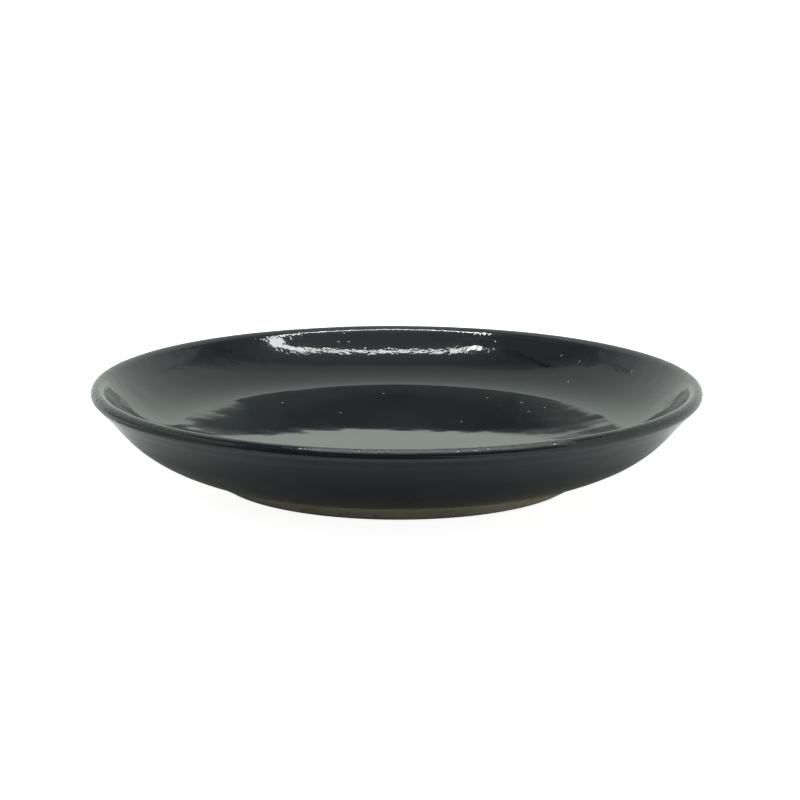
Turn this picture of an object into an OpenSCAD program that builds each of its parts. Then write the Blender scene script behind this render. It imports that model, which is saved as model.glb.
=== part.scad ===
// Round soy sauce dish in dark glazed stoneware: a shallow well, a wall that turns up to a
// rolled lip, and a turned foot left bare of glaze. All lengths are in millimetres.
// The axis is Z, the origin is the centre of the foot's contact face, and the dish opens to +Z.

/* [Rim] */
// Diameter over the rolled lip
rim_d = 100; // [85:1:120]
// Height from the table to the crown of the lip
dish_h = 16; // [13.6:0.2:19]
// Thickness of the rolled lip, glaze included
lip_t = 2.2; // [1.8:0.1:3]
// How far round the underside of the lip its crease lies, as an angle inward from straight down
lip_tuck = 20; // [0:1:30]
// Radius of the gentler bend where the lip runs down into the well
lip_inner_round = 2; // [1.6:0.1:3]
// Where that bend leaves the lip, as an angle inward from the crown
lip_inner_start = 20; // [10:1:30]

/* [Well] */
// Height of the glazed floor at the centre
floor_h = 6.3; // [5:0.1:7]
// Distance from the outside of the lip in to where the floor turns up into the wall
wall_run = 13.8; // [12:0.2:17]
// How much the floor has risen where the wall begins
floor_rise = 1.45; // [0.8:0.05:2.6]
// How much less steep the top of the inside wall is than one plain arc would end, in degrees
wall_ease = 5; // [2:1:10]

/* [Outside wall] */
// Distance from the outside of the lip in to the line at which the outside glaze stops
glaze_run = 13.8; // [11.6:0.2:16]
// Height of that line above the table
glaze_line_h = 3.6; // [3:0.1:4.2]
// Slope of the outside wall just above the line, in degrees
wall_low_slope = 18; // [12:1:26]

/* [Foot] */
// Distance from the glaze line in to the foot, across the bare flank
flank_run = 7.3; // [6:0.1:9]
// Width of the foot's flat contact face
foot_flat_w = 3.6; // [2:0.2:5]
// Rounding where the flank meets the contact face
foot_outer_round = 1.2; // [0.4:0.1:2.4]
// Rounding where the recess wall meets the contact face
foot_inner_round = 0.6; // [0.2:0.1:1]
// Depth of the turned recess at its edge, which is also the height of the foot ring
recess_h = 1.8; // [1.2:0.1:2.2]
// Extra depth of the recess at its centre
recess_dome = 0.5; // [0.2:0.1:1]
// Slope of the recess wall, in degrees
recess_slope = 60; // [45:1:80]

/* [Glaze] */
// Thickness of the fired glaze, inside and outside
glaze_t = 0.4; // [0.2:0.05:0.6]

/* [Hidden] */
$fn = 180;
floor_steps = 14;
wall_steps = 14;
lip_steps = 20;
bend_steps = 6;
edge_steps = 5;
dome_steps = 8;
clay_colour = [0.45, 0.41, 0.33];
glaze_colour = [0.10, 0.12, 0.14];

// Radii that follow from the rim and the runs measured in from it
rim_r = rim_d / 2;
floor_r = rim_r - wall_run;
glaze_line_r = rim_r - glaze_run;
foot_r = glaze_line_r - flank_run;

// Unit normal on the upper side of a line that climbs outward at a slope
function upward(slope) = [-sin(slope), cos(slope)];

// Point of an upward-turning arc that leaves its start at the low slope
function arc_point(start, low, slope, radius) = start + radius * (upward(low) - upward(slope));

function reversed(points) = [for (i = [len(points) - 1:-1:0]) points[i]];

// Circle of the rolled lip. Angles round it are counted from straight outward, and a depth is
// measured in from the surface of the glaze.
lip_r = lip_t / 2;
lip_centre = [rim_r - lip_r, dish_h - lip_r];
function lip_point(angle, depth) = lip_centre + (lip_r - depth) * [cos(angle), sin(angle)];

// Gentler bend on the inner side of the lip: a wider arc that leaves the circle smoothly
bend_centre = lip_centre - (lip_inner_round - lip_r) * upward(lip_inner_start);
function bend_point(slope, depth) = bend_centre + (lip_inner_round - depth) * upward(slope);

// Floor of the well: nearly flat, with a height that grows with this power of the radius
floor_power = 4.5;
function floor_slope(share) =
    atan(floor_power * floor_rise / floor_r * pow(share, floor_power - 1));
function floor_point(share, depth) =
    [floor_r * share, floor_h + floor_rise * pow(share, floor_power)]
    - depth * upward(floor_slope(share));

// Inside wall: one arc that leaves the floor smoothly, and a short straight that runs into the
// bend of the lip. The straight's slope is set back from the one at which an arc alone would
// meet the bend, so that there is always some of it.
wall_in_start = floor_point(1, 0);
wall_in_low = floor_slope(1);
to_wall_start = wall_in_start - bend_centre;
plain_arc_r = (pow(norm(to_wall_start), 2) - pow(lip_inner_round, 2))
    / (2 * (lip_inner_round - upward(wall_in_low) * to_wall_start));
to_plain_centre = to_wall_start + plain_arc_r * upward(wall_in_low);
wall_in_high = atan(-to_plain_centre.x / to_plain_centre.y) - wall_ease;
wall_in_r = (upward(wall_in_high) * to_wall_start - lip_inner_round)
    / (1 - cos(wall_in_high - wall_in_low));

// Inside of the dish from the centre up to the end of the arc, where the straight begins
function inside_curve(depth) = concat(
    [for (i = [0:floor_steps - 1]) floor_point(i / floor_steps, depth)],
    [
        for (i = [0:wall_steps])
            let (slope = wall_in_low + (wall_in_high - wall_in_low) * i / wall_steps)
            arc_point(floor_point(1, depth), wall_in_low, slope, wall_in_r + depth)
    ]
);

// Lip from the crease on its underside, over the crown and round its bend, to the straight
lip_crease_a = -90 - lip_tuck;
lip_bend_a = 90 + lip_inner_start;
function lip_arc(depth) = concat(
    [
        for (i = [0:lip_steps - 1])
            lip_point(lip_crease_a + (lip_bend_a - lip_crease_a) * i / lip_steps, depth)
    ],
    [
        for (i = [0:bend_steps])
            let (slope = lip_inner_start + (wall_in_high - lip_inner_start) * i / bend_steps)
            bend_point(slope, depth)
    ]
);

// Outside wall: one arc from the glaze line to the crease under the lip
glaze_line = [glaze_line_r, glaze_line_h];
crease = lip_point(lip_crease_a, 0);
wall_chord = crease - glaze_line;
wall_chord_slope = atan(wall_chord.y / wall_chord.x);
wall_high_slope = 2 * wall_chord_slope - wall_low_slope;
wall_out_r = norm(wall_chord) / (2 * sin(wall_chord_slope - wall_low_slope));
function outside_curve(depth) = [
    for (i = [0:wall_steps])
        let (slope = wall_low_slope + (wall_high_slope - wall_low_slope) * i / wall_steps)
        arc_point(glaze_line + depth * upward(wall_low_slope), wall_low_slope, slope,
            wall_out_r - depth)
];

// Bare flank: a straight cone from the foot to the point where the clay passes under the glaze
flank_top = glaze_line + glaze_t * upward(wall_low_slope);
flank_slope = atan(flank_top.y / (flank_top.x - foot_r));
function flank_at(height) = [foot_r + height / tan(flank_slope), height];

// Round nose of the outside glaze, centred on the point where the clay passes under it, up to
// but without the glaze line itself
nose_from = 180 + flank_slope;
nose_to = 270 + wall_low_slope;
function nose_arc() = [
    for (i = [0:edge_steps - 1])
        let (angle = nose_from + (nose_to - nose_from) * i / edge_steps)
        flank_top + glaze_t * [cos(angle), sin(angle)]
];

// Contact face of the foot between its two roundings, and the recess inside it
contact_outer = foot_r - foot_outer_round * tan(flank_slope / 2);
contact_inner = contact_outer - foot_flat_w;
recess_r = contact_inner - foot_inner_round * sin(recess_slope)
    - (recess_h - foot_inner_round * (1 - cos(recess_slope))) / tan(recess_slope);
function outer_rounding() = [
    for (i = [0:edge_steps])
        arc_point([contact_outer, 0], 0, flank_slope * i / edge_steps, foot_outer_round)
];
function inner_rounding() = [
    for (i = [edge_steps:-1:0])
        let (slope = recess_slope * i / edge_steps)
        [contact_inner - foot_inner_round * sin(slope), foot_inner_round * (1 - cos(slope))]
];

// Underside of the clay inside the foot: a shallow dome that meets the foot ring
function dome_curve() = [
    for (i = [0:dome_steps])
        [recess_r * i / dome_steps, recess_h + recess_dome * (1 - pow(i / dome_steps, 2))]
];

// Floor, wall and rolled lip, as thrown: everything above the foot ring and below the glaze
module clay_body() {
    color(clay_colour)
    rotate_extrude()
    polygon(concat(
        dome_curve(),
        [flank_at(recess_h)],
        outside_curve(glaze_t),
        lip_arc(glaze_t),
        reversed(inside_curve(glaze_t))
    ));
}

// Turned ring under the body, with the flat face that the dish stands on
module foot_ring() {
    color(clay_colour)
    rotate_extrude()
    polygon(concat(
        [[recess_r, recess_h]],
        inner_rounding(),
        outer_rounding(),
        [flank_at(recess_h)]
    ));
}

// Glaze of the well, up the wall and over the lip to the crease under it
module inside_glaze() {
    color(glaze_colour)
    rotate_extrude()
    polygon(concat(
        inside_curve(glaze_t),
        reversed(lip_arc(glaze_t)),
        lip_arc(0),
        reversed(inside_curve(0))
    ));
}

// Glaze of the outside wall, from the crease down to its round nose on the bare flank
module outside_glaze() {
    color(glaze_colour)
    rotate_extrude()
    polygon(concat(
        nose_arc(),
        outside_curve(0),
        [lip_point(lip_crease_a, glaze_t)],
        reversed(outside_curve(glaze_t))
    ));
}

clay_body();
foot_ring();
inside_glaze();
outside_glaze();
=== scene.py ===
"""Small round soy sauce dish of dark glazed stoneware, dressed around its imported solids.

The dish was thrown and turned on a wheel, so every piece is a closed surface carried round the
axis Z. Its section is worked out from a potter's sizes: a shallow well, a wall that turns up to a
rolled lip, an even coat of glaze that ends in a soft line, and a turned foot left bare.
"""

import logging
import math
from dataclasses import dataclass
from enum import Enum

import bpy
import numpy as np
from mathutils import Matrix, Quaternion, Vector


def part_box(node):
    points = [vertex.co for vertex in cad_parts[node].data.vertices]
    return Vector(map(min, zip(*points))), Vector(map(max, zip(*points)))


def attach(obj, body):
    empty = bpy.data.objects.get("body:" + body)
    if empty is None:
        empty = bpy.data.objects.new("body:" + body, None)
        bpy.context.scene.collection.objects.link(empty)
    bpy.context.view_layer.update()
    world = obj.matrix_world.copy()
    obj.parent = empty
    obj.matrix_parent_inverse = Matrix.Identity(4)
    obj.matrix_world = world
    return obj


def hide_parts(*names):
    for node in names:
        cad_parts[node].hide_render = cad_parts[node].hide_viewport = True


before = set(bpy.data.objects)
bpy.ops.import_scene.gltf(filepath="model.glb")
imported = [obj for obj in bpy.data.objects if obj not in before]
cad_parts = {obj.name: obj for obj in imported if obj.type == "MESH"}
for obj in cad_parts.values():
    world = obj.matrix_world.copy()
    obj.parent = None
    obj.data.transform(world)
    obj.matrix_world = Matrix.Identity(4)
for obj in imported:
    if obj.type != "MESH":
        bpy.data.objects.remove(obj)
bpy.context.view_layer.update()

LOG = logging.getLogger("sauce_dish")
AROUND = 500
TURN = 2.0 * math.pi
ANGLES = np.arange(AROUND) * TURN / AROUND
MM = 0.001
WHITE = (1.0, 1.0, 1.0, 1.0)
COOL_WHITE = (0.92, 1.0, 0.93, 1.0)
DOUBLE = 1e-4
TOUCHING = 1e-9
NOWHERE = np.zeros((0, 1))

Colour = tuple[float, float, float, float]
Triple = tuple[float, float, float]
Pair = tuple[float, float]
Socket = bpy.types.NodeSocket


class Slot(Enum):
    """Material slots of the record."""

    GLAZE = "dark_glaze"
    CLAY = "bare_clay"


class Node(Enum):
    """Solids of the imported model."""

    BODY = "clay_body"
    FOOT = "foot_ring"
    INSIDE = "inside_glaze"
    OUTSIDE = "outside_glaze"


# Section


def upward(slope: np.ndarray | float) -> np.ndarray:
    """Unit normal on the upper side of a line that climbs outward at a slope.

    Args:
        slope: Slope or slopes in radians.

    Returns:
        The normal as (radial, vertical), one for each slope.
    """
    slope = np.asarray(slope, float)
    return np.stack([-np.sin(slope), np.cos(slope)], -1)


def around(angle: np.ndarray | float) -> np.ndarray:
    """Unit direction at an angle counted from straight outward.

    Args:
        angle: Angle or angles in radians.

    Returns:
        The direction as (radial, vertical), one for each angle.
    """
    angle = np.asarray(angle, float)
    return np.stack([np.cos(angle), np.sin(angle)], -1)


@dataclass
class Curve:
    """A stretch of the section: points with their outward normals, in order along it."""

    points: np.ndarray
    normals: np.ndarray

    def part(self, keep: np.ndarray | slice) -> "Curve":
        """Some of the points of the stretch."""
        return Curve(self.points[keep], self.normals[keep])

    def sunk(self, depth: float) -> "Curve":
        """The same stretch, moved in by a depth against its normals."""
        return Curve(self.points - depth * self.normals, self.normals)

    def resampled(self, step: float) -> "Curve":
        """Spaces the points evenly.

        Args:
            step: Distance between points, in millimetres.

        Returns:
            The stretch with its ends kept.
        """
        run = self.run
        at = np.linspace(0.0, run[-1], max(2, int(round(run[-1] / step)) + 1))
        table = np.hstack([self.points, self.normals])
        found = np.stack([np.interp(at, run, column) for column in table.T], -1)
        normals = found[:, 2:] / np.linalg.norm(found[:, 2:], axis=1, keepdims=True)
        return Curve(found[:, :2], normals)

    @property
    def run(self) -> np.ndarray:
        """Distance along the stretch at each point."""
        gaps = np.linalg.norm(np.diff(self.points, axis=0), axis=1)
        return np.concatenate([[0.0], np.cumsum(gaps)])

    @property
    def radius(self) -> np.ndarray:
        """Radius of each point, as one column."""
        return self.points[:, :1]

    @property
    def height(self) -> np.ndarray:
        """Height of each point, as one column."""
        return self.points[:, 1:]


def chained(*stretches: Curve) -> Curve:
    """Joins stretches, without points that repeat the one before.

    Args:
        stretches: The stretches in order.

    Returns:
        One stretch.
    """
    points = np.vstack([stretch.points for stretch in stretches])
    whole = Curve(points, np.vstack([stretch.normals for stretch in stretches]))
    return whole.part(np.diff(whole.run, prepend=-1.0) > DOUBLE)


def spaced(stretches: tuple[Curve, ...], steps: tuple[float, ...]) -> Curve:
    """Stretches joined in one, each with its points at a step of its own."""
    return chained(*(stretch.resampled(step) for stretch, step in zip(stretches, steps)))


def arc(centre: np.ndarray, radius: float, normals: np.ndarray) -> Curve:
    """Arc about a centre, given by its outward normals, and hollow where the radius is negative."""
    return Curve(centre + radius * normals, normals)


def bearing(way: np.ndarray) -> float:
    """Angle of a direction, counted from straight outward."""
    return math.atan2(way[1], way[0])


@dataclass(frozen=True)
class Section:
    """Section of the dish, in millimetres and degrees: radius outward, height upward."""

    rim_r: float = 50.0
    dish_h: float = 16.0
    lip_r: float = 1.1
    lip_inner_round: float = 2.0
    lip_inner_start: float = 20.0
    floor_h: float = 6.3
    floor_r: float = 36.2
    floor_rise: float = 1.45
    floor_power: float = 4.5
    wall_ease: float = 5.0
    glaze_line_r: float = 36.2
    glaze_line_h: float = 3.6
    wall_low_slope: float = 18.0
    lip_tuck: float = 20.0
    crease_round: float = 40.0
    foot_r: float = 28.9
    foot_flat_w: float = 3.6
    foot_outer_round: float = 1.2
    foot_inner_round: float = 0.6
    recess_h: float = 1.8
    recess_dome: float = 0.5
    recess_slope: float = 60.0
    glaze_t: float = 0.4
    dense: int = 400
    dense_foot: int = 40
    dense_recess: int = 60

    @property
    def lip_centre(self) -> np.ndarray:
        """Centre of the lip's circle."""
        return np.array([self.rim_r - self.lip_r, self.dish_h - self.lip_r])

    @property
    def bend_centre(self) -> np.ndarray:
        """Centre of the gentler bend on the lip's inner side."""
        start = upward(math.radians(self.lip_inner_start))
        return self.lip_centre - (self.lip_inner_round - self.lip_r) * start

    @property
    def inner_low(self) -> float:
        """Slope of the floor where the inside wall begins, in radians."""
        return math.atan(self.floor_power * self.floor_rise / self.floor_r)

    @property
    def inner_arc(self) -> tuple[np.ndarray, float, float]:
        """Centre, radius and upper slope of the inside wall.

        The arc leaves the floor's edge along the floor's own slope. Its upper slope is set back
        from the one at which an arc alone would meet the lip's bend, and its radius is the one at
        which a straight at that slope leads from it into the bend.
        """
        start = np.array([self.floor_r, self.floor_h + self.floor_rise])
        to_start = start - self.bend_centre
        low = upward(self.inner_low)
        plain_r = (to_start @ to_start - self.lip_inner_round**2) / (
            2.0 * (self.lip_inner_round - low @ to_start)
        )
        to_plain = to_start + plain_r * low
        high = math.atan2(-to_plain[0], to_plain[1]) - math.radians(self.wall_ease)
        radius = (upward(high) @ to_start - self.lip_inner_round) / (
            1.0 - math.cos(high - self.inner_low)
        )
        return start + radius * low, radius, high

    @property
    def outer_arc(self) -> tuple[np.ndarray, float]:
        """Centre and radius of the outside wall, whose plain arc ends at the plain crease."""
        line = np.array([self.glaze_line_r, self.glaze_line_h])
        crease = self.lip_centre + self.lip_r * around(math.radians(-90.0 - self.lip_tuck))
        chord = crease - line
        low = math.radians(self.wall_low_slope)
        radius = np.linalg.norm(chord) / (2.0 * math.sin(bearing(chord) - low))
        return line + radius * upward(low), radius

    @property
    def crease_centre(self) -> np.ndarray:
        """Centre of the small round in which the glaze pools under the lip.

        It lies where a circle about the lip's centre and one about the outside wall's centre
        cross, each wider than its own surface by the round's radius.
        """
        wall_centre, wall_r = self.outer_arc
        reach_lip, reach_wall = self.lip_r + self.crease_round, wall_r + self.crease_round
        between = self.lip_centre - wall_centre
        gap = np.linalg.norm(between)
        along = (reach_wall**2 - reach_lip**2 + gap**2) / (2.0 * gap)
        aside = math.sqrt(reach_wall**2 - along**2)
        unit = between / gap
        return wall_centre + along * unit + aside * np.array([unit[1], -unit[0]])

    def floor(self) -> Curve:
        """Floor of the well: height grows with a power of the radius."""
        share = np.linspace(0.0, 1.0, self.dense)
        rise = self.floor_rise * share**self.floor_power
        points = np.stack([self.floor_r * share, self.floor_h + rise], -1)
        steepness = self.floor_power * self.floor_rise / self.floor_r
        return Curve(points, upward(np.arctan(steepness * share ** (self.floor_power - 1.0))))

    def inside_wall(self) -> Curve:
        """Inside wall: one arc from the floor's edge, and a straight to the lip's bend."""
        centre, radius, high = self.inner_arc
        normals = upward(np.linspace(self.inner_low, high, self.dense))
        wall = arc(centre, -radius, normals)
        top = self.bend_centre + self.lip_inner_round * upward(high)
        straight = np.linspace(wall.points[-1], top, self.dense)
        return chained(wall, Curve(straight, np.repeat(normals[-1:], self.dense, 0)))

    def lip(self) -> Curve:
        """Lip: its bend from the inside wall, its crown, and down to the round in the crease."""
        start = math.radians(self.lip_inner_start)
        slopes = upward(np.linspace(self.inner_arc[2], start, self.dense))
        last = bearing(self.crease_centre - self.lip_centre)
        normals = around(np.linspace(math.pi / 2.0 + start, last, self.dense))
        return chained(
            arc(self.bend_centre, self.lip_inner_round, slopes),
            arc(self.lip_centre, self.lip_r, normals),
        )

    def crease(self) -> Curve:
        """Round in the crease, from the lip to the outside wall, hollow to the outside."""
        centre = self.crease_centre
        first, last = bearing(self.lip_centre - centre), bearing(self.outer_arc[0] - centre)
        return arc(centre, -self.crease_round, -around(np.linspace(first, last, self.dense)))

    def outside_wall(self) -> Curve:
        """Outside wall: one arc from the crease down to the glaze line."""
        centre, radius = self.outer_arc
        high = math.pi / 2.0 + bearing(self.crease_centre - centre)
        low = math.radians(self.wall_low_slope)
        return arc(centre, radius, -upward(np.linspace(high, low, self.dense)))

    @property
    def flank_top(self) -> np.ndarray:
        """Point of the flank at which the clay passes under the glaze."""
        line = np.array([self.glaze_line_r, self.glaze_line_h])
        return line + self.glaze_t * upward(math.radians(self.wall_low_slope))

    @property
    def flank_slope(self) -> float:
        """Slope of the straight flank, in radians."""
        return bearing(self.flank_top - [self.foot_r, 0.0])

    def nose(self) -> Curve:
        """Round nose of the glaze: an arc from the outside wall down to the flank."""
        first, last = math.radians(self.wall_low_slope - 90.0), self.flank_slope - math.pi
        return arc(self.flank_top, self.glaze_t, around(np.linspace(first, last, self.dense)))

    def flank(self) -> Curve:
        """Flank from under the glaze down to the rounding of the foot."""
        slope = self.flank_slope
        end = self.foot_outer_round * math.tan(slope / 2.0) * around(slope) + [self.foot_r, 0.0]
        points = np.linspace(self.flank_top, end, self.dense)
        return Curve(points, np.repeat(-upward([slope]), self.dense, 0))

    @property
    def contact(self) -> Pair:
        """Outer and inner radius of the flat face that the dish stands on."""
        outer = self.foot_r - self.foot_outer_round * math.tan(self.flank_slope / 2.0)
        return outer, outer - self.foot_flat_w

    @property
    def recess_r(self) -> float:
        """Radius of the recess where its wall meets the dome."""
        slope = math.radians(self.recess_slope)
        rest = self.recess_h - self.foot_inner_round * (1.0 - math.cos(slope))
        return self.contact[1] - self.foot_inner_round * math.sin(slope) - rest / math.tan(slope)

    def foot_underside(self) -> Curve:
        """Underside of the foot: outer rounding, flat face, inner rounding and recess wall."""
        big, small = self.foot_outer_round, self.foot_inner_round
        steep = math.radians(self.recess_slope)
        first = -upward(np.linspace(self.flank_slope, 0.0, self.dense_foot))
        second = -upward(np.linspace(0.0, -steep, self.dense_foot))
        outer = arc(np.array([self.contact[0], big]), big, first)
        inner = arc(np.array([self.contact[1], small]), small, second)
        end = [self.recess_r, self.recess_h]
        wall = np.linspace(inner.points[-1], end, self.dense_recess)
        return chained(outer, inner, Curve(wall, np.repeat(second[-1:], self.dense_recess, 0)))

    def dome(self) -> Curve:
        """Underside inside the foot: a shallow dome, highest at the centre."""
        share = np.linspace(1.0, 0.0, self.dense)
        height = self.recess_h + self.recess_dome * (1.0 - share**2)
        slope = np.arctan(-2.0 * self.recess_dome * share / self.recess_r)
        return Curve(np.stack([self.recess_r * share, height], -1), -upward(slope))


# Relief


@dataclass(frozen=True)
class Ripple:
    """Smooth random relief, the same from any side: a sum of plane waves through space.

    Height is the sum over the waves of amplitude times the cosine of wave vector times place plus
    phase. The amplitudes share out the slope evenly.
    """

    seed: int
    shortest: float
    longest: float
    slope_deg: float
    waves: int = 90

    def height(self, places: np.ndarray) -> np.ndarray:
        """Heights at places of the surface.

        Args:
            places: Points, with the three coordinates on the last axis, in millimetres.

        Returns:
            Heights in millimetres, without the last axis.
        """
        dice = np.random.default_rng(self.seed)
        way = dice.normal(size=(self.waves, 3))
        way /= np.linalg.norm(way, axis=1, keepdims=True)
        length = np.exp(dice.uniform(math.log(self.shortest), math.log(self.longest), self.waves))
        phase = dice.uniform(0.0, TURN, self.waves)
        number = TURN / length
        size = math.radians(self.slope_deg) * math.sqrt(3.0 / self.waves) / number
        flat = places.reshape(-1, 3)
        total = np.zeros(len(flat))
        for k in range(self.waves):
            total += size[k] * np.cos(flat @ (way[k] * number[k]) + phase[k])
        return total.reshape(places.shape[:-1])


@dataclass(frozen=True)
class Grit:
    """Grains that stand up under the glaze: round bumps of a bell shape at random places."""

    seed: int
    count: int
    inner_r: float
    outer_r: float
    height: float
    spread: float
    smallest: float = 0.4

    def relief(self, places: np.ndarray) -> np.ndarray:
        """Heights at places of the surface: height times exp of minus (distance / spread) squared.

        Args:
            places: Points, with the three coordinates on the last axis, in millimetres.

        Returns:
            Heights in millimetres, without the last axis.
        """
        dice = np.random.default_rng(self.seed)
        radius = np.sqrt(dice.uniform(self.inner_r**2, self.outer_r**2, self.count))
        angle = dice.uniform(0.0, TURN, self.count)
        scale = dice.uniform(self.smallest, 1.0, self.count)
        total = np.zeros(places.shape[:-1])
        for x, y, k in zip(radius * np.cos(angle), radius * np.sin(angle), scale):
            far = (places[..., 0] - x) ** 2 + (places[..., 1] - y) ** 2
            total += k * self.height * np.exp(-far / (self.spread * k) ** 2)
        return total


def smooth_step(low: float, high: float, value: np.ndarray) -> np.ndarray:
    """Share that rises from 0 to 1 between two values, as 3t² - 2t³.

    Args:
        low: Value at which it starts.
        high: Value at which it ends, which may be the lower one.
        value: Values to look up.

    Returns:
        Shares from 0 to 1.
    """
    t = np.clip((value - low) / (high - low), 0.0, 1.0)
    return t * t * (3.0 - 2.0 * t)


def turned(radius: np.ndarray, height: np.ndarray) -> np.ndarray:
    """Places at each angle round the axis: x and y are radius times cosine and sine."""
    return np.stack([radius * np.cos(ANGLES), radius * np.sin(ANGLES), height], -1)


def carried_round(curve: Curve, relief: np.ndarray | float = 0.0) -> np.ndarray:
    """Carries a section round the axis, its points moved along their normals by the relief.

    Args:
        curve: Section, in millimetres.
        relief: Height of the relief at each section point and angle.

    Returns:
        Places with shape (points, AROUND, 3).
    """
    relief = np.broadcast_to(relief, (len(curve.points), AROUND))
    radius = curve.radius + relief * curve.normals[:, :1]
    return turned(radius, curve.height + relief * curve.normals[:, 1:])


# Meshes


def linked(name: str, data: bpy.types.ID) -> bpy.types.Object:
    """Makes an object and links it to the scene.

    Args:
        name: Name of the object.
        data: Its mesh, light or camera.

    Returns:
        The object, at the origin.
    """
    made = bpy.data.objects.new(name, data)
    bpy.context.scene.collection.objects.link(made)
    return made


@dataclass
class Turned:
    """A closed mesh of revolution, built from rings of places.

    A section that starts and ends on the axis gets a pole of one vertex at each end. Any other
    section is closed, its last ring joined to the first. A mark is given for the first rings, and
    is 0 on those after them. Shading doesn't run across a hard ring.
    """

    name: str
    rings: np.ndarray
    marks: dict[str, np.ndarray]
    hard_rings: tuple[int, ...]

    @property
    def capped(self) -> bool:
        """Whether the section starts and ends on the axis."""
        return bool(np.abs(self.rings[0, :, :2]).max() < TOUCHING)

    def _in_order(self, values: np.ndarray) -> np.ndarray:
        """Puts values of the rings in the order of the mesh's vertices.

        Args:
            values: Values with shape (rings, AROUND, ...).

        Returns:
            Values by vertex, those of the poles last.
        """
        if not self.capped:
            return values.reshape(-1, *values.shape[2:])
        body = values[1:-1].reshape(-1, *values.shape[2:])
        return np.concatenate([body, values[0, :1], values[-1, :1]])

    def _faces(self) -> tuple[np.ndarray, np.ndarray]:
        """Works out the faces: quads between the rings, and a fan of triangles at each pole.

        Returns:
            The vertex at each corner, and the number of corners of each face.
        """
        count = len(self.rings) - 2 * self.capped
        row, column = np.meshgrid(np.arange(count - self.capped), np.arange(AROUND), indexing="ij")
        below, beside = (row + 1) % count, (column + 1) % AROUND
        corners = ((row, column), (below, column), (below, beside), (row, beside))
        quads = np.stack([ring * AROUND + step for ring, step in corners], -1).reshape(-1, 4)
        loops, sizes = quads.ravel(), np.full(len(quads), 4)
        if self.capped:
            here, pole = np.arange(AROUND), np.full(AROUND, count * AROUND)
            after, last = (here + 1) % AROUND, (count - 1) * AROUND
            top = np.stack([pole, here, after], -1)
            foot = np.stack([pole + 1, last + after, last + here], -1)
            loops = np.concatenate([loops, top.ravel(), foot.ravel()])
            sizes = np.concatenate([sizes, np.full(2 * AROUND, 3)])
        return loops, sizes

    def build(self, unit: float) -> bpy.types.Object:
        """Makes the mesh object.

        Args:
            unit: Metres in one millimetre of the section.

        Returns:
            The object, with its place in its mesh.
        """
        places, (loops, sizes) = self._in_order(self.rings), self._faces()
        starts = np.concatenate([[0], np.cumsum(sizes)[:-1]])
        mesh = bpy.data.meshes.new(self.name)
        mesh.vertices.add(len(places))
        mesh.vertices.foreach_set("co", (places * unit).astype(np.float32).ravel())
        mesh.loops.add(len(loops))
        mesh.loops.foreach_set("vertex_index", loops.astype(np.int32))
        mesh.polygons.add(len(sizes))
        mesh.polygons.foreach_set("loop_start", starts.astype(np.int32))
        mesh.polygons.foreach_set("loop_total", sizes.astype(np.int32))
        mesh.update(calc_edges=True)
        mesh.polygons.foreach_set("use_smooth", np.ones(len(sizes), bool))
        for name, values in self.marks.items():
            full = np.zeros(self.rings.shape[:2])
            full[: len(values)] = values
            layer = mesh.attributes.new(name, "FLOAT", "POINT")
            layer.data.foreach_set("value", self._in_order(full).astype(np.float32))
        self._harden(mesh)
        mesh.validate()
        return linked(self.name, mesh)

    def _harden(self, mesh: bpy.types.Mesh) -> None:
        """Marks the edges along the hard rings as sharp.

        Args:
            mesh: Mesh to mark.
        """
        ends = np.zeros(len(mesh.edges) * 2, np.int32)
        mesh.edges.foreach_get("vertices", ends)
        ring = ends.reshape(-1, 2) // AROUND + self.capped
        sharp = (ring[:, 0] == ring[:, 1]) & np.isin(ring[:, 0], self.hard_rings)
        layer = mesh.attributes.new("sharp_edge", "BOOLEAN", "EDGE")
        layer.data.foreach_set("value", sharp)


# Materials


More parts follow.
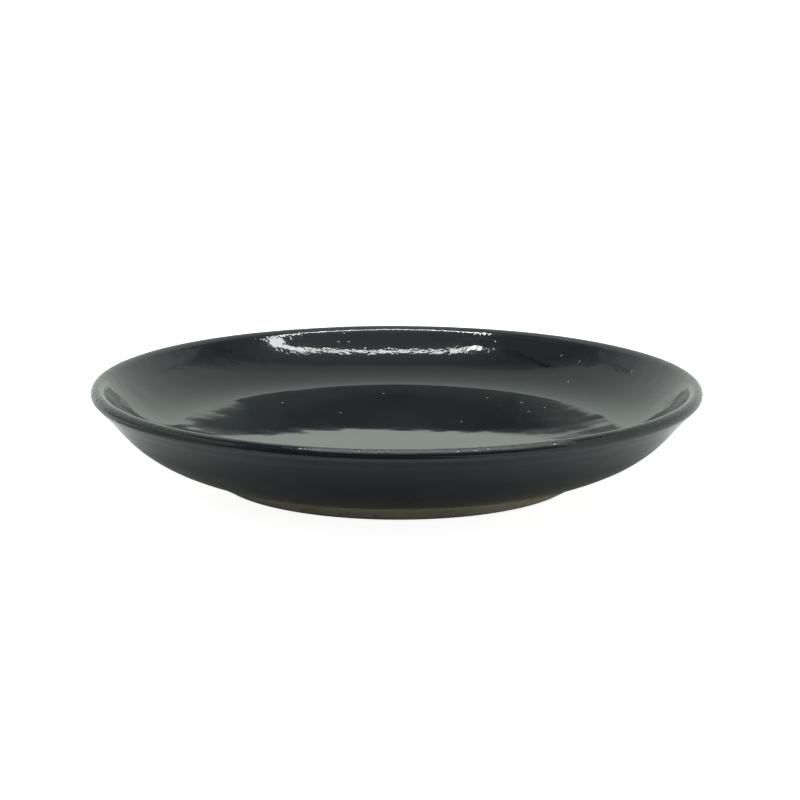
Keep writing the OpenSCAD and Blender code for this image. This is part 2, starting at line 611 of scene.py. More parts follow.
class Graph:
    """A short hand for building a node tree. A value is a number, a colour or a socket to link."""

    def __init__(self, tree: bpy.types.NodeTree) -> None:
        """Empties a tree to build in it."""
        self.tree = tree
        tree.nodes.clear()

    def add(self, kind: str, inputs: dict | None = None, **settings: object) -> bpy.types.Node:
        """Adds a node.

        Args:
            kind: Type of the node.
            inputs: Values by the input's name or number.
            settings: Properties of the node.

        Returns:
            The node.
        """
        node = self.tree.nodes.new(kind)
        for name, value in settings.items():
            setattr(node, name, value)
        for name, value in (inputs or {}).items():
            if isinstance(value, Socket):
                self.tree.links.new(value, node.inputs[name])
            else:
                node.inputs[name].default_value = value
        return node

    def maths(self, operation: str, *values: object) -> Socket:
        """Result of a Math node with its values in order."""
        return self.add("ShaderNodeMath", dict(enumerate(values)), operation=operation).outputs[0]

    def plus(self, base: object, value: object, share: object) -> Socket:
        """A base plus a value times its share."""
        return self.maths("ADD", base, self.maths("MULTIPLY", value, share))

    def effect(self, group: bpy.types.NodeTree, *values: object) -> Socket:
        """Result of a node group with its values in order."""
        return self.add("ShaderNodeGroup", dict(enumerate(values)), node_tree=group).outputs[0]

    def attribute(self, name: str) -> Socket:
        """Value of an attribute of the mesh's points."""
        return self.add("ShaderNodeAttribute", attribute_name=name).outputs["Fac"]

    def place(self) -> Socket:
        """Place on the object, in metres."""
        return self.add("ShaderNodeTexCoord").outputs["Object"]

    def axes(self, place: Socket) -> bpy.types.NodeOutputs:
        """The three coordinates of a place, by name."""
        return self.add("ShaderNodeSeparateXYZ", {0: place}).outputs

    def layered(self, colour: object, *layers: tuple[object, object]) -> Socket:
        """Lays colours over one another.

        Args:
            colour: The lowest colour.
            layers: Share from 0 to 1 and colour of each layer, in order.

        Returns:
            The mixed colour.
        """
        for share, other in layers:
            inputs = {0: share, 6: colour, 7: other}
            colour = self.add("ShaderNodeMix", inputs, data_type="RGBA").outputs[2]
        return colour

    def between(self, value: object, *ends: float) -> Socket:
        """Value mapped smoothly from the first two ends to the last two, and kept inside them."""
        inputs = dict(enumerate((value, *ends)))
        return self.add("ShaderNodeMapRange", inputs, interpolation_type="SMOOTHSTEP").outputs[0]

    def bumped(self, height: Socket) -> Socket:
        """Normal bent by a relief in millimetres."""
        inputs = {"Height": height, "Distance": MM, "Strength": 1.0}
        return self.add("ShaderNodeBump", inputs).outputs["Normal"]

    def surface(self, kind: str, inputs: dict) -> None:
        """Adds the shader of the surface and the material's output."""
        shader = self.add(kind, inputs)
        self.add("ShaderNodeOutputMaterial", {"Surface": shader.outputs[0]})


def new_material(name: str) -> tuple[bpy.types.Material, Graph]:
    """Makes a material.

    Args:
        name: Name of the material.

    Returns:
        The material and its empty graph.
    """
    made = bpy.data.materials.new(name)
    made.use_nodes = True
    return made, Graph(made.node_tree)


def new_effect(
    name: str, result: str, *numbers: str
) -> tuple[bpy.types.NodeTree, Graph, list[Socket]]:
    """Makes an empty node group that turns a place and some numbers into one value.

    Args:
        name: Name of the group.
        result: Name of its result.
        numbers: Names of the numbers that it takes after the place.

    Returns:
        The group, its graph, and the sockets of the place and the numbers.
    """
    group = bpy.data.node_groups.new(name, "ShaderNodeTree")
    group.interface.new_socket("Place", in_out="INPUT", socket_type="NodeSocketVector")
    for label in numbers:
        group.interface.new_socket(label, in_out="INPUT", socket_type="NodeSocketFloat")
    group.interface.new_socket(result, in_out="OUTPUT", socket_type="NodeSocketFloat")
    graph = Graph(group)
    return group, graph, graph.add("NodeGroupInput").outputs[: 1 + len(numbers)]


class SharedEffects:
    """Node groups that both finishes use."""

    def __init__(self) -> None:
        """Builds each group once."""
        self.specks = self._specks()
        self.drift = self._drift()
        self.grain = self._grain()

    @staticmethod
    def _specks() -> bpy.types.NodeTree:
        """Small round specks: a mask that is 1 near the centre of some of the cells of a space.

        A cell holds a speck where its random value is under the share, and the mask falls from 1
        to 0 at the speck's radius, which is a share of the cell.
        """
        group, graph, (place, cells, share, radius) = new_effect(
            "small specks", "Mask", "Cells per metre", "Share", "Radius"
        )
        cell = graph.add("ShaderNodeTexVoronoi", {"Vector": place, "Scale": cells}).outputs
        split = graph.add("ShaderNodeSeparateColor", {0: cell["Color"]}).outputs
        chosen = graph.maths("LESS_THAN", split[0], share)
        size = graph.maths("MULTIPLY", radius, graph.maths("ADD", split[1], 0.5))
        edge = graph.maths("SUBTRACT", 1.0, graph.maths("DIVIDE", cell["Distance"], size))
        soft = graph.between(edge, 0.0, 0.5, 0.0, 1.0)
        graph.add("NodeGroupOutput", {0: graph.maths("MULTIPLY", soft, chosen)})
        return group

    @staticmethod
    def _drift() -> bpy.types.NodeTree:
        """Slow change of tone over the surface: octaves of soft noise, from 0 to 1."""
        group, graph, (place, patches) = new_effect("tone drift", "Tone", "Patches per metre")
        inputs = {"Vector": place, "Scale": patches, "Detail": 2.0, "Roughness": 0.55}
        noise = graph.add("ShaderNodeTexNoise", inputs).outputs[0]
        graph.add("NodeGroupOutput", {0: graph.between(noise, 0.3, 0.7, 0.0, 1.0)})
        return group

    @staticmethod
    def _grain() -> bpy.types.NodeTree:
        """Fine relief: noise about zero times its depth, in millimetres."""
        group, graph, (place, grains, depth, detail) = new_effect(
            "fine relief", "Height", "Grains per metre", "Depth", "Detail"
        )
        inputs = {"Vector": place, "Scale": grains, "Detail": detail, "Roughness": 0.5}
        noise = graph.add("ShaderNodeTexNoise", inputs).outputs[0]
        centred = graph.maths("SUBTRACT", noise, 0.5)
        graph.add("NodeGroupOutput", {0: graph.maths("MULTIPLY", centred, depth)})
        return group


@dataclass(frozen=True)
class DarkGlaze:
    """Glossy blue-black glaze with fine pinholes, a few pale specks and an olive thin edge.

    Grains of grog that came through the glaze, and glossy bumps over others, lie at named places,
    in millimetres. Mirrored rays leave the bumps out, since the well would stretch them to lines.
    Specks are given as cells per metre, share and radius, and reliefs as grains per metre, depth
    and detail. Depths and heights are in millimetres.
    """

    name: str = "dark glaze"
    deep: Colour = (0.0088, 0.0120, 0.0165, 1.0)
    body: Colour = (0.0108, 0.0152, 0.0155, 1.0)
    violet: Colour = (0.0122, 0.0142, 0.0208, 1.0)
    # Painted shade: darker colour low on the outside wall, for the dish's own shadow on the floor
    # that the wall mirrors there.
    low_wall_shade: Colour = (0.0040, 0.0048, 0.0026, 1.0)
    thin: Colour = (0.0115, 0.0108, 0.0050, 1.0)
    speck: Colour = (0.22, 0.23, 0.22, 1.0)
    # Painted highlight: the lighter colour of the rough front stretch of the outer lip.
    worn: Colour = (0.022, 0.023, 0.022, 1.0)
    sheen: Colour = (0.95, 1.0, 0.98, 1.0)
    patches: float = 45.0
    roughness: float = 0.03
    patch_roughness: float = 0.015
    thin_roughness: float = 0.10
    lip_roughness: float = 0.42
    grain_roughness: float = 0.3
    ior: float = 1.5
    level: float = 0.5
    lip_gain: float = 0.5
    bend_gain: float = 0.5
    haze: float = 0.12
    haze_roughness: float = 0.2
    pale_specks: Triple = (260.0, 0.035, 0.075)
    pinholes: Triple = (520.0, 0.22, 0.20)
    pinhole_depth: float = 0.012
    lip_grit: Triple = (900.0, 0.6, 0.45)
    unevenness: Triple = (700.0, 0.0012, 1.0)
    peel: Triple = (1500.0, 0.034, 1.0)
    sparkle: Triple = (1300.0, 0.10, 1.0)
    grain_reach: Pair = (0.10, 0.26)
    grain_height: float = 0.01
    grains: tuple[Triple, ...] = (
        (-19.7, 24.66, 7.08),
        (-9.61, 19.63, 6.45),
        (-2.32, 32.02, 7.14),
        (21.51, 24.56, 7.21),
        (22.49, 18.91, 6.87),
        (10.94, 13.25, 6.35),
        (25.29, 20.59, 7.21),
        (29.85, 29.47, 9.91),
        (31.9, 32.57, 12.83),
        (28.91, 35.74, 13.26),
        (40.19, 22.22, 13.2),
        (15.76, 28.6, 7.21),
    )
    bump_reach: Pair = (0.0, 0.32)
    bump_height: float = 0.024
    bumps: tuple[Triple, ...] = ((-10.43, 45.11, 13.64), (-8.65, 45.44, 13.58))

    @staticmethod
    def placed(
        name: str, spots: tuple[Triple, ...], reach: Pair
    ) -> bpy.types.NodeTree:
        """Makes a group that masks named places.

        Args:
            name: Name of the group.
            spots: The places, in millimetres.
            reach: Distances from a place at which the mask is still 1 and already 0.

        Returns:
            The group.
        """
        group, graph, (place,) = new_effect(name, "Mask")
        nearest = 1.0
        for spot in spots:
            ends = {0: place, 1: tuple(MM * part for part in spot)}
            far = graph.add("ShaderNodeVectorMath", ends, operation="DISTANCE").outputs["Value"]
            nearest = graph.maths("MINIMUM", far, nearest)
        mask = graph.between(nearest, reach[0] * MM, reach[1] * MM, 1.0, 0.0)
        graph.add("NodeGroupOutput", {0: mask})
        return group

    def height(
        self, graph: Graph, shared: SharedEffects, place: Socket, wall: Socket, crest: Socket,
        grain: Socket,
    ) -> Socket:
        """Adds up the relief.

        Args:
            graph: Graph of the material.
            shared: Node groups to place in it.
            place: Place on the dish.
            wall: Share of the upper wall, which has pinholes.
            crest: Share of the gritty lip.
            grain: Mask of the grains that came through.

        Returns:
            Height in millimetres.
        """
        peel = graph.effect(shared.grain, place, *self.peel)
        sparkle = graph.effect(shared.grain, place, *self.sparkle)
        holes = graph.effect(shared.specks, place, *self.pinholes)
        bumps = graph.effect(self.placed("placed bumps", self.bumps, self.bump_reach), place)
        dome = graph.maths("MULTIPLY", graph.maths("SUBTRACT", 2.0, bumps), bumps)
        seen = graph.add("ShaderNodeLightPath").outputs["Is Camera Ray"]
        height = graph.effect(shared.grain, place, *self.unevenness)
        height = graph.plus(height, peel, graph.attribute("orange_peel"))
        height = graph.plus(height, sparkle, crest)
        height = graph.plus(height, holes, graph.maths("MULTIPLY", wall, -self.pinhole_depth))
        height = graph.plus(height, grain, self.grain_height)
        return graph.plus(height, graph.maths("MULTIPLY", dome, seen), self.bump_height)

    def material(self, shared: SharedEffects) -> bpy.types.Material:
        """Builds the material.

        Args:
            shared: Node groups to place in it.

        Returns:
            The material.
        """
        made, graph = new_material(self.name)
        place = graph.place()
        names = "thin_glaze", "upper_wall", "outer_lip", "crest", "inner_bend", "painted_low_wall_shade"
        thin, wall, lip, crest, bend, low_wall_shade = (graph.attribute(name) for name in names)
        tone = graph.effect(shared.drift, place, self.patches)
        pale = graph.effect(shared.specks, place, *self.pale_specks)
        through = graph.effect(self.placed("placed grains", self.grains, self.grain_reach), place)
        grain = graph.maths("MAXIMUM", pale, through)
        grit = graph.effect(shared.specks, place, *self.lip_grit)
        matt = graph.maths("SUBTRACT", 1.0, graph.maths("MULTIPLY", grit, crest))
        rough = graph.between(tone, 0.0, 1.0, self.roughness, self.roughness + self.patch_roughness)
        rough = graph.plus(rough, thin, self.thin_roughness)
        rough = graph.plus(rough, graph.maths("MULTIPLY", lip, matt), self.lip_roughness)
        rough = graph.plus(rough, grain, self.grain_roughness)
        level = graph.plus(graph.plus(self.level, lip, self.lip_gain), bend, self.bend_gain)
        colour = graph.layered(
            # Painted shade low on the outside wall, near the glaze line.
            self.deep, (tone, self.body), (wall, self.violet), (low_wall_shade, self.low_wall_shade),
            # The outer lip's colour here is a painted highlight on its front stretch.
            (thin, self.thin), (lip, self.worn), (grain, self.speck),
        )
        height = self.height(graph, shared, place, wall, crest, grain)
        graph.surface("ShaderNodeBsdfPrincipled", {
            "Base Color": colour,
            "Roughness": rough,
            "IOR": self.ior,
            "Specular IOR Level": level,
            "Specular Tint": self.sheen,
            "Coat Weight": graph.maths("MULTIPLY", wall, self.haze),
            "Coat Roughness": self.haze_roughness,
            "Normal": graph.bumped(height),
        })
        return made


@dataclass(frozen=True)
class BareClay:
    """Unglazed stoneware: warm grey-brown, sandy, with iron specks and a tinge by the glaze. Its
    colour holds painted light, paler towards +X, and painted shade, darker along the bottom edge by
    the table.

    Specks are given as cells per metre, share and radius, and the sand as grains per metre, depth
    and detail. The ends of a stretch and the shares there follow each other in one tuple.
    """

    name: str = "bare clay"
    pale: Colour = (0.42, 0.40, 0.32, 1.0)
    brown: Colour = (0.295, 0.272, 0.205, 1.0)
    flash: Colour = (0.33, 0.33, 0.14, 1.0)
    iron: Colour = (0.05, 0.038, 0.025, 1.0)
    # Painted shade: darker clay along the bottom edge, where the foot meets the table.
    bottom_edge_shade: Colour = (0.16, 0.135, 0.095, 1.0)
    # Painted light: the clay turns paler towards +X, for the light that falls on that side.
    side_light_pale: Colour = (0.50, 0.47, 0.37, 1.0)
    ior: float = 1.45
    tone_patches: float = 90.0
    flash_patches: float = 35.0
    iron_specks: Triple = (900.0, 0.12, 0.3)
    iron_depth: float = 0.02
    sand: Triple = (2600.0, 0.05, 3.0)
    side_light_span: tuple[float, ...] = (6.0 * MM, 17.0 * MM, 0.0, 0.85)
    sand_shade: tuple[float, ...] = (-0.012, 0.012, 0.0, 0.35)
    near_table: tuple[float, ...] = (0.1 * MM, 0.6 * MM, 1.0, 0.0)
    roughness: Pair = (0.82, 0.95)

    def material(self, shared: SharedEffects) -> bpy.types.Material:
        """Builds the material.

        Args:
            shared: Node groups to place in it.

        Returns:
            The material.
        """
        made, graph = new_material(self.name)
        place = graph.place()
        axes = graph.axes(place)
        tone = graph.effect(shared.drift, place, self.tone_patches)
        patch = graph.effect(shared.drift, place, self.flash_patches)
        iron = graph.effect(shared.specks, place, *self.iron_specks)
        sand = graph.effect(shared.grain, place, *self.sand)
        colour = graph.layered(
            self.pale,
            (tone, self.brown),
            # Painted light: paler towards +X.
            (graph.between(axes["X"], *self.side_light_span), self.side_light_pale),
            (graph.maths("MULTIPLY", graph.attribute("near_glaze"), patch), self.flash),
            (iron, self.iron),
            (graph.between(sand, *self.sand_shade), self.brown),
            # Painted shade: darker along the bottom edge by the table.
            (graph.between(axes["Z"], *self.near_table), self.bottom_edge_shade),
        )
        graph.surface("ShaderNodeBsdfPrincipled", {
            "Base Color": colour,
            "Roughness": graph.between(tone, 0.0, 1.0, *self.roughness),
            "IOR": self.ior,
            "Normal": graph.bumped(graph.plus(sand, iron, -self.iron_depth)),
        })
        return made


# The dish


@dataclass
class GlazeCoat:
    """Relief of the fired glaze, one surface over the whole glazed skin.

    A pair of numbers gives the ends between which a share rises or falls: heights, distances in
    from the rim where the name says so, or the cosine or sine of an angle round the dish. The
    rings' phase drifts by a size, a number of turns and a lead. Shares on the floor are those of
    the broad ripples, the dimples and the rings.
    """

    section: Section
    broad: Ripple = Ripple(seed=11, shortest=3.0, longest=9.0, slope_deg=0.3)
    swell: Ripple = Ripple(seed=12, shortest=14.0, longest=40.0, slope_deg=0.1, waves=24)
    dimples: Ripple = Ripple(seed=13, shortest=1.6, longest=3.4, slope_deg=0.5)
    grit: Grit = Grit(seed=14, count=46, inner_r=43.5, outer_r=49.8, height=0.05, spread=0.42)
    on_floor: Triple = (0.35, 0.06, 0.15)
    off_floor: Pair = (7.6, 11.0)
    high: Pair = (9.5, 15.0)
    upper: Pair = (9.5, 13.5)
    ring_length: float = 2.7
    ring_depth: float = 0.0030
    ring_start: Pair = (1.0, 8.0)
    ring_drift: tuple[Triple, ...] = ((0.9, 1.0, 0.7), (0.5, 3.0, 2.1))
    lip_calm: float = 0.35
    lip_drop: float = 0.02
    clearance: float = 0.004
    rim_near: Pair = (2.6, 1.2)
    rim_outer: Pair = (0.9, 0.65)
    rim_inner: Pair = (2.0, 1.5)
    rim_haze: Pair = (1.1, 1.6)
    rim_bend: Pair = (2.65, 2.35)
    rim_bend_end: Pair = (1.6, 1.9)
    near_z: Pair = (13.0, 14.6)
    bend_z: Pair = (14.0, 14.6)
    crest_z: Pair = (15.1, 15.5)
    rough_sheen_front_z: Pair = (15.25, 15.55)
    peel_z: Pair = (11.0, 12.0)
    peel_end_z: Pair = (12.5, 13.6)
    peel_lip_z: Pair = (14.6, 15.2)
    peel_share: float = 0.85
    inner_grit: float = 0.4
    calm_share: float = 0.9
    rough_sheen_front_deg: float = 81.6
    rough_sheen_front: Pair = (0.885, 0.945)
    calm_deg: float = 115.0
    calm: Pair = (0.945, 0.98)
    bend_turn: float = 0.15
    bend: Pair = (0.78, 0.90)

    def relief(self, curve: Curve, inside: bool) -> np.ndarray:
        """Works out the height of the glaze over its plain section.

        Ripples that are faint on the floor and grow up the wall, throwing rings whose phase
        drifts slowly round the dish, and grit on the lip. On the lip the whole relief is moved
        in and capped, so that no place of it stands outside the dish's own box.

        Args:
            curve: Section of the skin.
            inside: Whether it is the inside, from the well over the lip.

        Returns:
            Heights with shape (points, AROUND), in millimetres.
        """
        places = carried_round(curve)
        high = smooth_step(*self.high, curve.height)
        rise = smooth_step(*self.off_floor, curve.height) if inside else np.ones_like(high)
        broad, dimples, ring = (
            least + (1.0 - least) * share for least, share in zip(self.on_floor, (rise, high, rise))
        )
        drift = sum(size * np.sin(turns * ANGLES + ahead) for size, turns, ahead in self.ring_drift)
        rings = self.ring_depth * np.sin(TURN * curve.radius / self.ring_length + drift)
        out = self.broad.height(places) * broad + self.swell.height(places)
        out = out + self.dimples.height(places) * dimples
        out = out + rings * ring * smooth_step(*self.ring_start, curve.radius)
        out = out + self.grit.relief(places) * high
        on_lip = self.from_rim(curve, self.rim_near) * smooth_step(*self.near_z, curve.height)
        out = out * (1.0 - self.lip_calm * on_lip) - self.lip_drop * on_lip
        return np.minimum(out, 1.0 - on_lip - self.clearance)

    def from_rim(self, curve: Curve, ends: tuple[float, float]) -> np.ndarray:
        """Share that rises from 0 to 1 between two distances in from the rim, as one column."""
        return smooth_step(*(self.section.rim_r - end for end in ends), curve.radius)

    def marks(self, curve: Curve) -> dict[str, np.ndarray]:
        """Shares from 0 to 1 that the finish reads on the inside, by attribute.

        The upper wall is hazy, and fine unevenness is strongest halfway up it. The outer side of the
        lip is rough on its front stretch, where its lighter colour is a painted highlight, and gritty
        all round but for a calm stretch.
        The inner bend shines on the side of positive Y.

        Args:
            curve: Section of the skin, from the well over the lip.

        Returns:
            Shares with shape (points, 1) or (points, AROUND).
        """
        height, outer = curve.height, self.from_rim(curve, self.rim_outer)
        # Front stretch of the outer lip: rough, and lighter in colour as a painted highlight.
        rough_sheen_front = smooth_step(*self.rough_sheen_front, np.cos(ANGLES + math.radians(self.rough_sheen_front_deg)))
        calm = smooth_step(*self.calm, np.cos(ANGLES + math.radians(self.calm_deg)))
        side = smooth_step(*self.bend, np.sin(ANGLES + self.bend_turn))
        middle = self.from_rim(curve, self.rim_bend) * self.from_rim(curve, self.rim_bend_end)
        inner = self.inner_grit * self.from_rim(curve, self.rim_inner)
        gritty = (inner + (1.0 - self.inner_grit) * outer) * smooth_step(*self.crest_z, height)
        fading = 1.0 - self.peel_share * smooth_step(*self.peel_end_z, height)
        peel_lip = self.peel_share * smooth_step(*self.peel_lip_z, height)
        return {
            "upper_wall": smooth_step(*self.upper, height) * self.from_rim(curve, self.rim_haze),
            "orange_peel": smooth_step(*self.peel_z, height) * fading + peel_lip,
            "outer_lip": outer * smooth_step(*self.rough_sheen_front_z, height) * rough_sheen_front,
            "inner_bend": middle * smooth_step(*self.bend_z, height) * side,
            "crest": gritty * (1.0 - self.calm_share * calm),
        }


@dataclass
class Dish:
    """The whole dish: four pieces on one section.

    Lengths are in millimetres. Steps are those between points, stretch by stretch. The glaze
    line's lobes are given as their number and size, a tool's mark as its depth and the distance to
    the next, and a share by the distances along the section between which it rises or falls.
    """

    section: Section
    unit: float
    coat: GlazeCoat
    shared: SharedEffects
    inside_steps: tuple[float, ...] = (0.6, 0.25, 0.14, 0.1)
    outside_steps: tuple[float, ...] = (0.1, 0.2)
    nose_step: float = 0.07
    inside_back: int = 9
    outside_back: int = 5
    clay_steps: tuple[float, ...] = (1.2, 0.8, 0.4, 0.2, 0.8)
    flank_step: float = 0.13
    dome_step: float = 0.3
    underside_step: float = 0.16
    plain_line: Pair = (0.0, 3.0)
    run_down: Pair = (5.0, 0.0)
    thin_line: Pair = (1.3, 0.0)
    low_wall_shade_span: Pair = (7.0, 2.0)
    tinge: Pair = (5.5, 0.5)
    tinge_above_foot: float = 4.5
    first_mark: Pair = (0.0, 0.6)
    contact_mark: Pair = (0.02, 0.5)
    line_seed: int = 31
    line_depth: float = 0.45
    lobes: tuple[tuple[int, float], ...] = (
        (2, 0.5), (3, 0.6), (5, 0.5), (8, 0.35), (13, 0.22), (21, 0.12)
    )
    worn: Ripple = Ripple(seed=41, shortest=1.5, longest=12.0, slope_deg=0.9, waves=60)
    turned_mark: Pair = (0.035, 0.9)
    dome_mark: Pair = (0.05, 1.6)
    cover: float = 0.03
    lid_rings: int = 6

    def __post_init__(self) -> None:
        """Builds both finishes."""
        glaze, clay = DarkGlaze().material(self.shared), BareClay().material(self.shared)
        self.finishes = {Slot.GLAZE: glaze, Slot.CLAY: clay}

    def line_slide(self) -> np.ndarray:
        """Works out how the glaze line has run down the flank, by a random amount never under 0.

        Returns:
            Moves with shape (AROUND, 3), in millimetres.
        """
        dice = np.random.default_rng(self.line_seed)
        total = np.zeros(AROUND)
        for lobes, size in self.lobes:
            total += size * np.cos(lobes * ANGLES + dice.uniform(0.0, TURN))
        total -= total.min()
        drop = self.line_depth * total / total.max()
        slope = self.section.flank_slope
        return turned(-drop * math.cos(slope), -drop * math.sin(slope))

    def finish(self, rings: Turned, slot: Slot, replaced: Node) -> bpy.types.Object:
        """Builds a piece and ties it to the frame.

        Args:
            rings: Places of the piece.
            slot: Slot of the record that it takes its finish from.
            replaced: Solid that it stands for.

        Returns:
            The piece.
        """
        piece = rings.build(self.unit)
        piece.data.materials.append(self.finishes[slot])
        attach(piece, "root")
        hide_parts(replaced.value)
        corners = np.array(piece.bound_box) / MM
        low, high = corners.min(0).round(2).tolist(), corners.max(0).round(2).tolist()
        LOG.info("%s: %d faces, from %s to %s mm", piece.name, len(piece.data.polygons), low, high)
        return piece

    def back(self, skin: Curve, every: int) -> np.ndarray:
        """Hidden side of a coat, from every few points of its skin, in the other direction."""
        return carried_round(skin.part(slice(None, None, every)).sunk(self.section.glaze_t))[::-1]

    def inside_coat(self) -> bpy.types.Object:
        """Builds the glaze of the well, the inside wall and the lip, down to the crease.

        Returns:
            The piece.
        """
        part = self.section
        upper_crease = part.crease().part(slice(part.dense // 2 + 1))
        stretches = part.floor(), part.inside_wall(), part.lip(), upper_crease
        skin = spaced(stretches, self.inside_steps)
        outer = carried_round(skin, self.coat.relief(skin, inside=True))
        rings = np.concatenate([outer, self.back(skin, self.inside_back)])
        marks = {**dict.fromkeys(("thin_glaze", "painted_low_wall_shade"), NOWHERE), **self.coat.marks(skin)}
        made = Turned("glaze_inside", rings, marks, (len(outer) - 1,))
        return self.finish(made, Slot.GLAZE, Node.INSIDE)

    def outside_coat(self) -> bpy.types.Object:
        """Builds the glaze of the outside wall, from the crease to its soft nose on the flank.

        Returns:
            The piece.
        """
        part = self.section
        lower_crease = part.crease().part(slice(part.dense // 2, None))
        skin = spaced((lower_crease, part.outside_wall()), self.outside_steps)
        to_line = skin.run[-1] - skin.run[:, None]
        relief = self.coat.relief(skin, inside=False) * smooth_step(*self.plain_line, to_line)
        slide = self.line_slide()
        wall = carried_round(skin, relief) + smooth_step(*self.run_down, to_line)[..., None] * slide
        tip = carried_round(part.nose().resampled(self.nose_step))[1:] + slide
        thin = np.vstack([smooth_step(*self.thin_line, to_line), np.ones((len(tip), 1))])
        # Share of painted shade low on the outside wall: 1 near the glaze line, 0 higher up.
        low_wall_shade = smooth_step(*self.low_wall_shade_span, to_line)
        marks = {"thin_glaze": thin, "painted_low_wall_shade": low_wall_shade}
        marks = {**dict.fromkeys(self.coat.marks(skin), NOWHERE), **marks}
        rings = np.concatenate([wall, tip, self.back(skin, self.outside_back)])
        made = Turned("glaze_outside", rings, marks, (0, len(wall) + len(tip) - 1))
        return self.finish(made, Slot.GLAZE, Node.OUTSIDE)

    def tool_marks(self, curve: Curve, depth: float, length: float) -> np.ndarray:
        """Works out the shallow spiral left by the turning tool, with random relief over it.

        The depth follows 0.5 - 0.5 cos of the run along the section over the mark's length plus
        one turn for each turn of the wheel, and lies under the plain surface.

        Args:
            curve: Section of the surface.
            depth: Depth of a mark, in millimetres.
            length: Distance from one mark to the next.

        Returns:
            Heights with shape (points, AROUND), none above 0.
        """
        mark = 0.5 - 0.5 * np.cos(TURN * curve.run[:, None] / length + ANGLES)
        return -depth * mark - np.abs(self.worn.height(carried_round(curve)))

    def shell(self) -> bpy.types.Object:
        """Builds the clay of the floor, wall and lip, hidden under the glaze but for its underside.

        Returns:
            The piece.
        """
        part = self.section
        covered = part.floor(), part.inside_wall(), part.lip(), part.crease(), part.outside_wall()
        hidden = spaced(covered, self.clay_steps).sunk(part.glaze_t + self.cover)
        flank = part.flank()
        flank = flank.part(flank.height[:, 0] >= part.recess_h).resampled(self.flank_step)
        dome = part.dome().resampled(self.dome_step)
        start = smooth_step(*self.first_mark, flank.run[:, None])
        rings = np.concatenate([
            carried_round(hidden),
            carried_round(flank, self.tool_marks(flank, *self.turned_mark) * start),
            carried_round(dome, self.tool_marks(dome, *self.dome_mark)),
        ])
        rings[-1] = rings[-1, 0]
        count = len(hidden.points)
        near = np.vstack([np.ones((count, 1)), smooth_step(*self.tinge, flank.run[:, None])])
        hard = (count - 1, count + len(flank.points) - 1)
        made = Turned("clay_shell", rings, {"near_glaze": near}, hard)
        return self.finish(made, Slot.CLAY, Node.BODY)

    def foot(self) -> bpy.types.Object:
        """Builds the foot ring: lower flank, flat contact face and the wall of the recess.

        Returns:
            The piece.
        """
        part = self.section
        flank = part.flank()
        flank = flank.part(flank.height[:, 0] <= part.recess_h).resampled(self.flank_step)
        skin = chained(flank, part.foot_underside().resampled(self.underside_step))
        above = smooth_step(*self.contact_mark, skin.height)
        outer = carried_round(skin, self.tool_marks(skin, *self.turned_mark) * above)
        lid = np.linspace(skin.points[-1], skin.points[0], self.lid_rings + 2)[1:-1]
        inner = carried_round(Curve(lid, np.repeat([[0.0, 1.0]], self.lid_rings, 0)))
        near = smooth_step(*self.tinge, skin.run[:, None] + self.tinge_above_foot)
        rings = np.concatenate([outer, inner])
        made = Turned("foot", rings, {"near_glaze": near}, (0, len(outer) - 1))
        return self.finish(made, Slot.CLAY, Node.FOOT)

    def build(self) -> list[bpy.types.Object]:
        """Builds the pieces in the order in which a potter makes them."""
        return [self.shell(), self.foot(), self.inside_coat(), self.outside_coat()]


# Studio


def sheet(name: str, corners: list[tuple], material: bpy.types.Material) -> bpy.types.Object:
    """Makes a flat sheet of four corners.

    Args:
        name: Name of the sheet.
        corners: Its corners in order.
        material: Its material.

    Returns:
        The sheet.
    """
    mesh = bpy.data.meshes.new(name)
    mesh.from_pydata(corners, [], [(0, 1, 2, 3)])
    mesh.materials.append(material)
    return linked(name, mesh)


@dataclass(frozen=True)
class Card:
    """A flat card of the studio, seen by reflections but not by the camera.

    Its glow can change over it: each ramp names an axis, two places on it in metres, and the
    shares of the glow at both. A flag lies on the floor and only reflections see it.
    """

    name: str
    centre: Triple
    across: Triple
    up: Triple
    glow: float
    ramps: tuple[tuple[str, float, float, float, float], ...] = ()
    flag: bool = False
    tint: Colour = WHITE

    def build(self) -> None:
        """Makes the card: its corners are the centre plus or minus both arms."""
        made, graph = new_material(self.name)
        axes = graph.axes(graph.place())
        strength = self.glow
        for axis, *ramp in self.ramps:
            strength = graph.maths("MULTIPLY", strength, graph.between(axes[axis], *ramp))
        graph.surface("ShaderNodeEmission", {"Color": self.tint, "Strength": strength})
        centre, across, up = (np.array(v) for v in (self.centre, self.across, self.up))
        sides = ((-1, -1), (1, -1), (1, 1), (-1, 1))
        card = sheet(self.name, [tuple(centre + a * across + b * up) for a, b in sides], made)
        card.visible_camera = False
        card.visible_diffuse = card.visible_shadow = not self.flag


@dataclass(frozen=True)
class Softbox:
    """An area light given by its radiance, so that its brightness in a reflection is plain.

    A light that isn't mirrored only lights the surfaces, and the glaze doesn't show its shape.
    """

    name: str
    centre: Triple
    size: tuple[float, float]
    radiance: float
    aim: Triple = (0.0, 0.0, 0.008)
    mirrored: bool = True
    spin_deg: float = 0.0

    def build(self) -> None:
        """Makes the light: its power is radiance times its area times pi."""
        lamp = bpy.data.lights.new(self.name, "AREA")
        lamp.shape = "RECTANGLE"
        lamp.size, lamp.size_y = self.size
        lamp.energy = self.radiance * self.size[0] * self.size[1] * math.pi
        made = linked(self.name, lamp)
        made.location = self.centre
        way = Vector(self.aim) - Vector(self.centre)
        spin = Quaternion((0.0, 0.0, 1.0), math.radians(self.spin_deg))
        made.rotation_euler = (way.to_track_quat("-Z", "Y") @ spin).to_euler()
        made.visible_camera = False
        made.visible_glossy = self.mirrored


